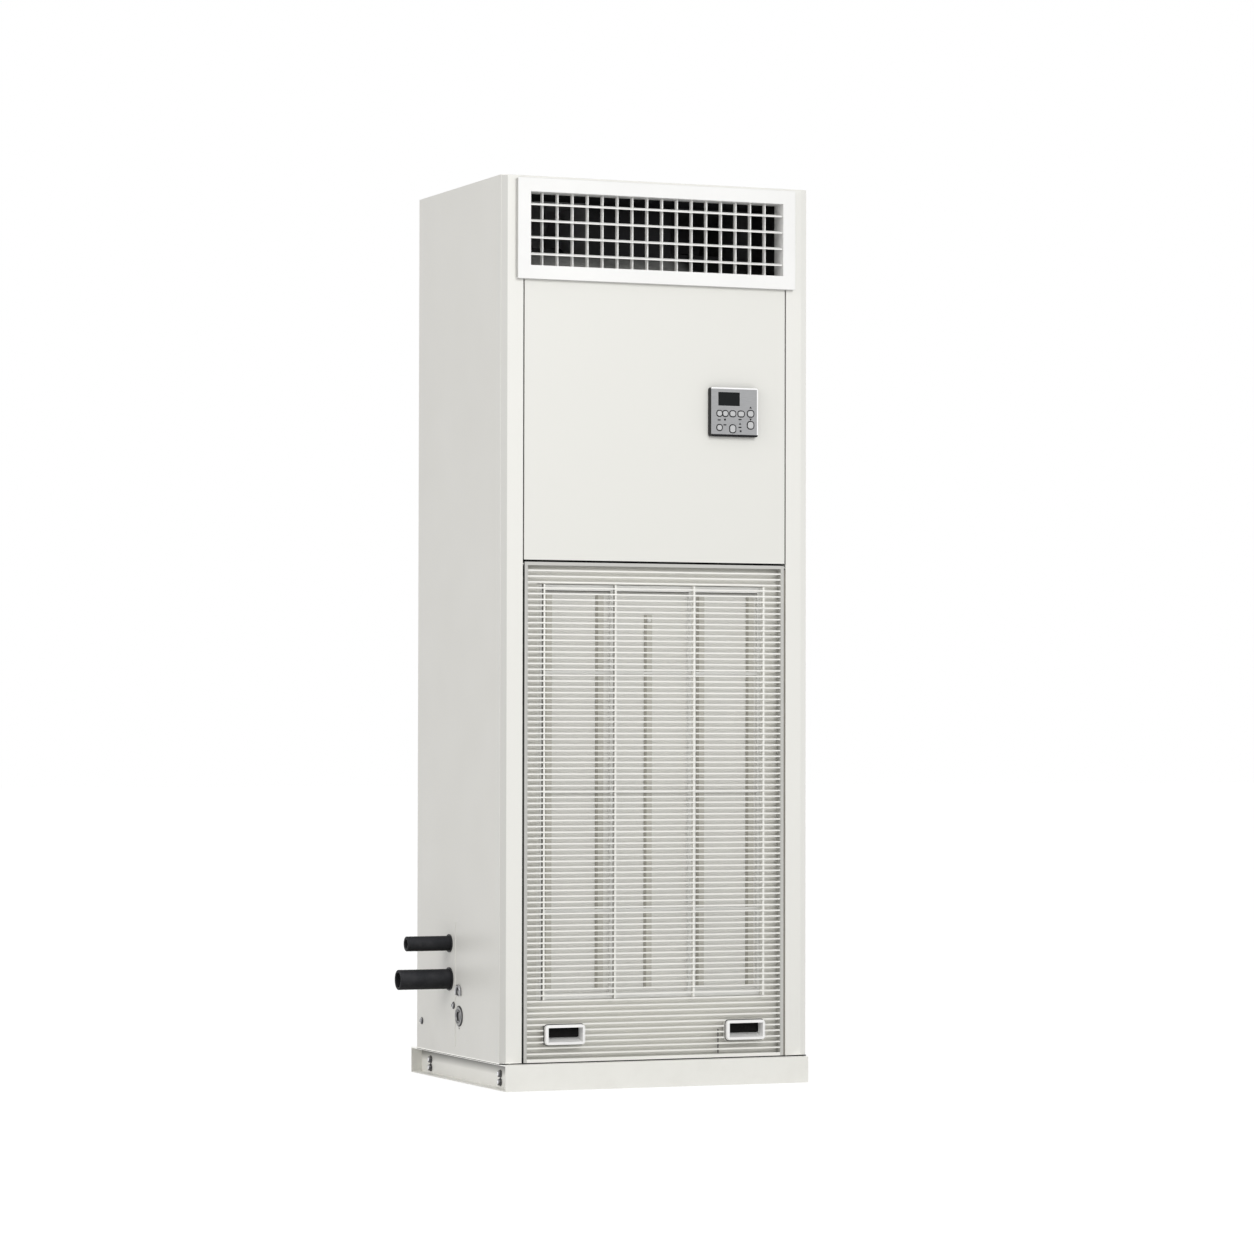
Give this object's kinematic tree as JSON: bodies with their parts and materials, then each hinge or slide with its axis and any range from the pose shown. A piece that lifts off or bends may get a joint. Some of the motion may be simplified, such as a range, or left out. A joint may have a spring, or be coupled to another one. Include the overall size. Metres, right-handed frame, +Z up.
{
  "type": "floor standing air conditioner",
  "caption": "Tall white floor standing air conditioner with a vaned outlet, wired controller, hinged slatted intake grille over a filter, and insulated pipe stubs on its left side.",
  "frame": {"origin": "middle of the base's underside, which is the middle of the four anchor holes", "axes": "+Z up, -Y towards the front of the unit, +X to the right seen from the front"},
  "size_m": [0.8225, 0.572, 1.905],
  "materials": {
    "white_paint": "satin",
    "base_paint": "satin",
    "outlet_plastic": "satin",
    "vane_plastic": "satin",
    "grille_plastic": "satin",
    "pull_plastic": "satin",
    "filter_plastic": "matte",
    "filter_net": "matte",
    "controller_plastic": "satin",
    "screen_lens": "gloss",
    "key_rubber": "matte",
    "foam_sleeve": "matte",
    "grommet_rubber": "matte",
    "copper": "bright drawn",
    "fin_metal": "mill",
    "galvanised": "spangled",
    "drain_plastic": "matte",
    "wheel_plastic": "matte",
    "motor_metal": "satin",
    "steel_fastener": "zinc plated"
  },
  "bodies": {
    "cabinet": {"left_side_panel": "white_paint", "right_side_panel": "white_paint", "rear_panel": "white_paint", "top_panel": "white_paint", "floor_panel": "galvanised", "upper_front_panel": "white_paint", "base_cross_rails": "base_paint", "base_side_rails": "base_paint", "base_bolts": "steel_fastener", "outlet_frame": "outlet_plastic", "discharge_duct": "galvanised", "fan_housings": "galvanised", "fan_motor": "motor_metal", "fan_rails": "galvanised", "intake_bulkhead": "white_paint", "coil_fins": "fin_metal", "coil_tubes": "copper", "drain_pan": "galvanised", "drain_socket": "drain_plastic", "pipe_plate": "white_paint", "wall_grommets": "grommet_rubber", "pipe_sleeves": "foam_sleeve", "control_box": "galvanised", "controller_case": "controller_plastic", "controller_screen": "screen_lens", "panel_screws": "steel_fastener"},
    "fan_rotor": {"motor_shaft": "steel_fastener", "fan_wheels": "wheel_plastic"},
    "filter": {"filter_frame": "filter_plastic", "filter_media": "filter_net"},
    "grille": {"intake_grille": "grille_plastic", "grille_pulls": "pull_plastic"},
    "row_vane_1": {"row_vane_1": "vane_plastic"},
    "row_vane_2": {"row_vane_2": "vane_plastic"},
    "row_vane_3": {"row_vane_3": "vane_plastic"},
    "row_vane_4": {"row_vane_4": "vane_plastic"},
    "column_vane_01": {"column_vane_01": "vane_plastic"},
    "column_vane_02": {"column_vane_02": "vane_plastic"},
    "column_vane_03": {"column_vane_03": "vane_plastic"},
    "column_vane_04": {"column_vane_04": "vane_plastic"},
    "column_vane_05": {"column_vane_05": "vane_plastic"},
    "column_vane_06": {"column_vane_06": "vane_plastic"},
    "column_vane_07": {"column_vane_07": "vane_plastic"},
    "column_vane_08": {"column_vane_08": "vane_plastic"},
    "column_vane_09": {"column_vane_09": "vane_plastic"},
    "column_vane_10": {"column_vane_10": "vane_plastic"},
    "column_vane_11": {"column_vane_11": "vane_plastic"},
    "column_vane_12": {"column_vane_12": "vane_plastic"},
    "column_vane_13": {"column_vane_13": "vane_plastic"},
    "column_vane_14": {"column_vane_14": "vane_plastic"},
    "column_vane_15": {"column_vane_15": "vane_plastic"},
    "column_vane_16": {"column_vane_16": "vane_plastic"},
    "mode_button": {"mode_button": "key_rubber"},
    "fan_speed_button": {"fan_speed_button": "key_rubber"},
    "swing_button": {"swing_button": "key_rubber"},
    "power_button": {"power_button": "key_rubber"},
    "timer_button": {"timer_button": "key_rubber"},
    "set_button": {"set_button": "key_rubber"},
    "raise_button": {"raise_button": "key_rubber"},
    "lower_button": {"lower_button": "key_rubber"}
  },
  "joints": [
    {"name": "row_vane_1_tilt", "type": "hinge", "parent": "cabinet", "child": "row_vane_1", "pos_m": [0, -0.2655, 1.74195], "axis": [1, 0, 0], "range_deg": [-61, 19]},
    {"name": "row_vane_2_tilt", "type": "hinge", "parent": "cabinet", "child": "row_vane_2", "pos_m": [0, -0.2655, 1.77665], "axis": [1, 0, 0], "range_deg": [-61, 19]},
    {"name": "row_vane_3_tilt", "type": "hinge", "parent": "cabinet", "child": "row_vane_3", "pos_m": [0, -0.2655, 1.81135], "axis": [1, 0, 0], "range_deg": [-61, 19]},
    {"name": "row_vane_4_tilt", "type": "hinge", "parent": "cabinet", "child": "row_vane_4", "pos_m": [0, -0.2655, 1.84605], "axis": [1, 0, 0], "range_deg": [-61, 19]},
    {"name": "column_vane_01_turn", "type": "hinge", "parent": "cabinet", "child": "column_vane_01", "pos_m": [-0.255, -0.2507, 1.794], "axis": [0, 0, 1], "range_deg": [-40, 40]},
    {"name": "column_vane_02_turn", "type": "hinge", "parent": "cabinet", "child": "column_vane_02", "pos_m": [-0.221, -0.2507, 1.794], "axis": [0, 0, 1], "range_deg": [-40, 40]},
    {"name": "column_vane_03_turn", "type": "hinge", "parent": "cabinet", "child": "column_vane_03", "pos_m": [-0.187, -0.2507, 1.794], "axis": [0, 0, 1], "range_deg": [-40, 40]},
    {"name": "column_vane_04_turn", "type": "hinge", "parent": "cabinet", "child": "column_vane_04", "pos_m": [-0.153, -0.2507, 1.794], "axis": [0, 0, 1], "range_deg": [-40, 40]},
    {"name": "column_vane_05_turn", "type": "hinge", "parent": "cabinet", "child": "column_vane_05", "pos_m": [-0.119, -0.2507, 1.794], "axis": [0, 0, 1], "range_deg": [-40, 40]},
    {"name": "column_vane_06_turn", "type": "hinge", "parent": "cabinet", "child": "column_vane_06", "pos_m": [-0.085, -0.2507, 1.794], "axis": [0, 0, 1], "range_deg": [-40, 40]},
    {"name": "column_vane_07_turn", "type": "hinge", "parent": "cabinet", "child": "column_vane_07", "pos_m": [-0.051, -0.2507, 1.794], "axis": [0, 0, 1], "range_deg": [-40, 40]},
    {"name": "column_vane_08_turn", "type": "hinge", "parent": "cabinet", "child": "column_vane_08", "pos_m": [-0.017, -0.2507, 1.794], "axis": [0, 0, 1], "range_deg": [-40, 40]},
    {"name": "column_vane_09_turn", "type": "hinge", "parent": "cabinet", "child": "column_vane_09", "pos_m": [0.017, -0.2507, 1.794], "axis": [0, 0, 1], "range_deg": [-40, 40]},
    {"name": "column_vane_10_turn", "type": "hinge", "parent": "cabinet", "child": "column_vane_10", "pos_m": [0.051, -0.2507, 1.794], "axis": [0, 0, 1], "range_deg": [-40, 40]},
    {"name": "column_vane_11_turn", "type": "hinge", "parent": "cabinet", "child": "column_vane_11", "pos_m": [0.085, -0.2507, 1.794], "axis": [0, 0, 1], "range_deg": [-40, 40]},
    {"name": "column_vane_12_turn", "type": "hinge", "parent": "cabinet", "child": "column_vane_12", "pos_m": [0.119, -0.2507, 1.794], "axis": [0, 0, 1], "range_deg": [-40, 40]},
    {"name": "column_vane_13_turn", "type": "hinge", "parent": "cabinet", "child": "column_vane_13", "pos_m": [0.153, -0.2507, 1.794], "axis": [0, 0, 1], "range_deg": [-40, 40]},
    {"name": "column_vane_14_turn", "type": "hinge", "parent": "cabinet", "child": "column_vane_14", "pos_m": [0.187, -0.2507, 1.794], "axis": [0, 0, 1], "range_deg": [-40, 40]},
    {"name": "column_vane_15_turn", "type": "hinge", "parent": "cabinet", "child": "column_vane_15", "pos_m": [0.221, -0.2507, 1.794], "axis": [0, 0, 1], "range_deg": [-40, 40]},
    {"name": "column_vane_16_turn", "type": "hinge", "parent": "cabinet", "child": "column_vane_16", "pos_m": [0.255, -0.2507, 1.794], "axis": [0, 0, 1], "range_deg": [-40, 40]},
    {"name": "mode_button_press", "type": "slide", "parent": "cabinet", "child": "mode_button", "axis": [0, 1, 0], "range_m": [0, 0.0008], "stiffness_N_per_m": 500},
    {"name": "fan_speed_button_press", "type": "slide", "parent": "cabinet", "child": "fan_speed_button", "axis": [0, 1, 0], "range_m": [0, 0.0008], "stiffness_N_per_m": 500},
    {"name": "swing_button_press", "type": "slide", "parent": "cabinet", "child": "swing_button", "axis": [0, 1, 0], "range_m": [0, 0.0008], "stiffness_N_per_m": 500},
    {"name": "power_button_press", "type": "slide", "parent": "cabinet", "child": "power_button", "axis": [0, 1, 0], "range_m": [0, 0.0008], "stiffness_N_per_m": 500},
    {"name": "timer_button_press", "type": "slide", "parent": "cabinet", "child": "timer_button", "axis": [0, 1, 0], "range_m": [0, 0.0008], "stiffness_N_per_m": 500},
    {"name": "set_button_press", "type": "slide", "parent": "cabinet", "child": "set_button", "axis": [0, 1, 0], "range_m": [0, 0.0008], "stiffness_N_per_m": 500},
    {"name": "raise_button_press", "type": "slide", "parent": "cabinet", "child": "raise_button", "axis": [0, 1, 0], "range_m": [0, 0.0008], "stiffness_N_per_m": 500},
    {"name": "lower_button_press", "type": "slide", "parent": "cabinet", "child": "lower_button", "axis": [0, 1, 0], "range_m": [0, 0.0008], "stiffness_N_per_m": 500},
    {"name": "grille_hinge", "type": "hinge", "parent": "cabinet", "child": "grille", "pos_m": [0, -0.259, 1.095], "axis": [-1, 0, 0], "range_deg": [0, 75]},
    {"name": "filter_lift", "type": "slide", "parent": "cabinet", "child": "filter", "axis": [0, 0, 1], "range_m": [0, 0.025]},
    {"name": "fan_spin", "type": "hinge", "parent": "cabinet", "child": "fan_rotor", "pos_m": [0, 0.031, 1.666], "axis": [1, 0, 0], "continuous": true}
  ]
}
